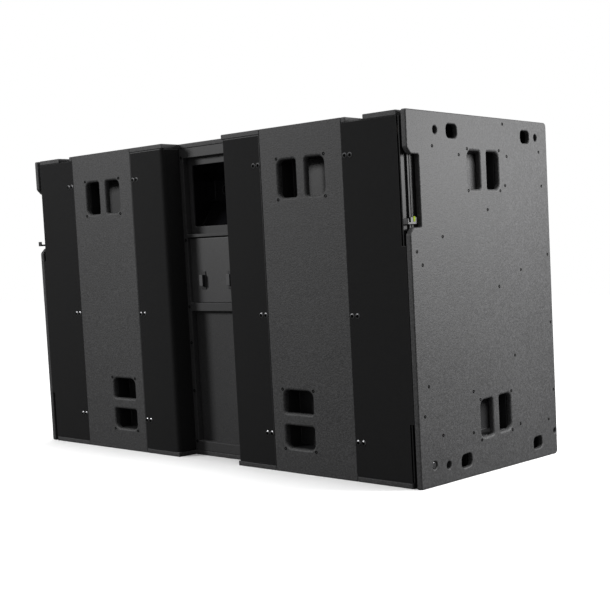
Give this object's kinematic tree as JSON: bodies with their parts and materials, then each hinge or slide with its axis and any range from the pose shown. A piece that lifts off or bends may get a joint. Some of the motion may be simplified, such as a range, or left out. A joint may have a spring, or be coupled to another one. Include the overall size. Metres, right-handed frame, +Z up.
{
  "type": "line array speaker",
  "caption": "Wide wedge-shaped line array loudspeaker cabinet with rear and front grilles, hand holes, a rear cable channel with a hatch, and sliding rigging arms.",
  "frame": {"origin": "middle of the footprint's bounding box, on the ground under the level underside", "axes": "+X to the right seen from the rear face, +Y towards the sound side, +Z up"},
  "size_m": [1.34, 0.687, 0.8693],
  "materials": {
    "textured_paint": "fine pebbled grey-black paint over plywood",
    "hatch_paint": "smooth dark paint over aluminium plate",
    "grille_steel": "matt black perforated steel with dark cloth behind",
    "rigging_steel": "satin black coated steel",
    "plated_steel": "bright plated steel",
    "moulded_plastic": "black moulded plastic with a fine grain",
    "horn_plastic": "smooth black moulding",
    "bare_plywood": "dark stained plywood",
    "woofer_cone": "doped paper cone, rubber surround and coated basket",
    "driver_casting": "black coated casting",
    "socket_body": "glass-filled black plastic"
  },
  "bodies": {
    "cabinet": {"top_panel": "textured_paint", "bottom_panel": "textured_paint", "side_panel_left": "textured_paint", "side_panel_right": "textured_paint", "rear_strip_left": "textured_paint", "rear_strip_right": "textured_paint", "channel_frame": "textured_paint", "service_cover": "textured_paint", "dish_bezel": "textured_paint", "rear_grille_outer_left": "grille_steel", "rear_grille_outer_right": "grille_steel", "rear_grille_inner_left": "grille_steel", "rear_grille_inner_right": "grille_steel", "front_grille_left": "grille_steel", "front_grille_right": "grille_steel", "rear_rigging_track_left": "rigging_steel", "rear_rigging_track_right": "rigging_steel", "front_rigging_track_left": "rigging_steel", "front_rigging_track_right": "rigging_steel", "hatch_hinge_pin": "plated_steel", "connector_dish": "moulded_plastic", "hatch_pocket": "moulded_plastic", "rear_hand_cup_upper_left": "moulded_plastic", "rear_hand_cup_upper_right": "moulded_plastic", "rear_hand_cup_lower_left": "moulded_plastic", "rear_hand_cup_lower_right": "moulded_plastic", "side_hand_cup_upper_left": "moulded_plastic", "side_hand_cup_upper_right": "moulded_plastic", "side_hand_cup_lower_left": "moulded_plastic", "side_hand_cup_lower_right": "moulded_plastic", "front_waveguide": "horn_plastic", "flank_board_left": "bare_plywood", "flank_board_right": "bare_plywood", "rear_baffle_left": "bare_plywood", "rear_baffle_right": "bare_plywood", "front_baffle_left": "bare_plywood", "front_baffle_right": "bare_plywood", "rear_woofer_left": "woofer_cone", "rear_woofer_right": "woofer_cone", "front_woofer_upper_left": "woofer_cone", "front_woofer_upper_right": "woofer_cone", "front_woofer_lower_left": "woofer_cone", "front_woofer_lower_right": "woofer_cone", "hf_driver_1": "driver_casting", "hf_driver_2": "driver_casting", "hf_driver_3": "driver_casting", "hf_driver_4": "driver_casting", "input_socket": "socket_body", "link_socket": "socket_body"},
    "rear_arm_left": {"rear_link_arm_left": "rigging_steel"},
    "rear_arm_right": {"rear_link_arm_right": "rigging_steel"},
    "front_arm_left": {"front_link_arm_left": "rigging_steel"},
    "front_arm_right": {"front_link_arm_right": "rigging_steel"},
    "rear_lever_left": {"rear_lock_lever_left": "rigging_steel"},
    "rear_lever_right": {"rear_lock_lever_right": "rigging_steel"},
    "pin_left": {"lock_pin_left": "plated_steel"},
    "pin_right": {"lock_pin_right": "plated_steel"},
    "hatch": {"hatch_door": "hatch_paint"},
    "latch_left": {"hatch_latch_left": "moulded_plastic"},
    "latch_right": {"hatch_latch_right": "moulded_plastic"}
  },
  "joints": [
    {"name": "rear_arm_left_slide", "type": "slide", "parent": "cabinet", "child": "rear_arm_left", "axis": [0, -0.0576, 0.9983], "range_m": [0, 0.1]},
    {"name": "front_arm_left_slide", "type": "slide", "parent": "cabinet", "child": "front_arm_left", "axis": [0, -0.0576, 0.9983], "range_m": [0, 0.1]},
    {"name": "rear_arm_right_slide", "type": "slide", "parent": "cabinet", "child": "rear_arm_right", "axis": [0, -0.0576, 0.9983], "range_m": [0, 0.1]},
    {"name": "front_arm_right_slide", "type": "slide", "parent": "cabinet", "child": "front_arm_right", "axis": [0, -0.0576, 0.9983], "range_m": [0, 0.1]},
    {"name": "rear_lever_left_turn", "type": "hinge", "parent": "rear_arm_left", "child": "rear_lever_left", "pos_m": [-0.653, -0.29766, 0.59286], "axis": [-1, 0, 0], "range_deg": [0, 70]},
    {"name": "lock_pin_left_press", "type": "slide", "parent": "cabinet", "child": "pin_left", "axis": [1, 0, 0], "range_m": [0, 0.009], "stiffness_N_per_m": 400},
    {"name": "hatch_latch_left_slide", "type": "slide", "parent": "hatch", "child": "latch_left", "axis": [1, 0, 0], "range_m": [0, 0.008], "stiffness_N_per_m": 300},
    {"name": "rear_lever_right_turn", "type": "hinge", "parent": "rear_arm_right", "child": "rear_lever_right", "pos_m": [0.653, -0.29766, 0.59286], "axis": [-1, 0, 0], "range_deg": [0, 70]},
    {"name": "lock_pin_right_press", "type": "slide", "parent": "cabinet", "child": "pin_right", "axis": [-1, 0, 0], "range_m": [0, 0.009], "stiffness_N_per_m": 400},
    {"name": "hatch_latch_right_slide", "type": "slide", "parent": "hatch", "child": "latch_right", "axis": [-1, 0, 0], "range_m": [0, 0.008], "stiffness_N_per_m": 300},
    {"name": "hatch_swing", "type": "hinge", "parent": "cabinet", "child": "hatch", "pos_m": [0, -0.25366, 0.58208], "axis": [-1, 0, 0], "range_deg": [0, 90]}
  ]
}
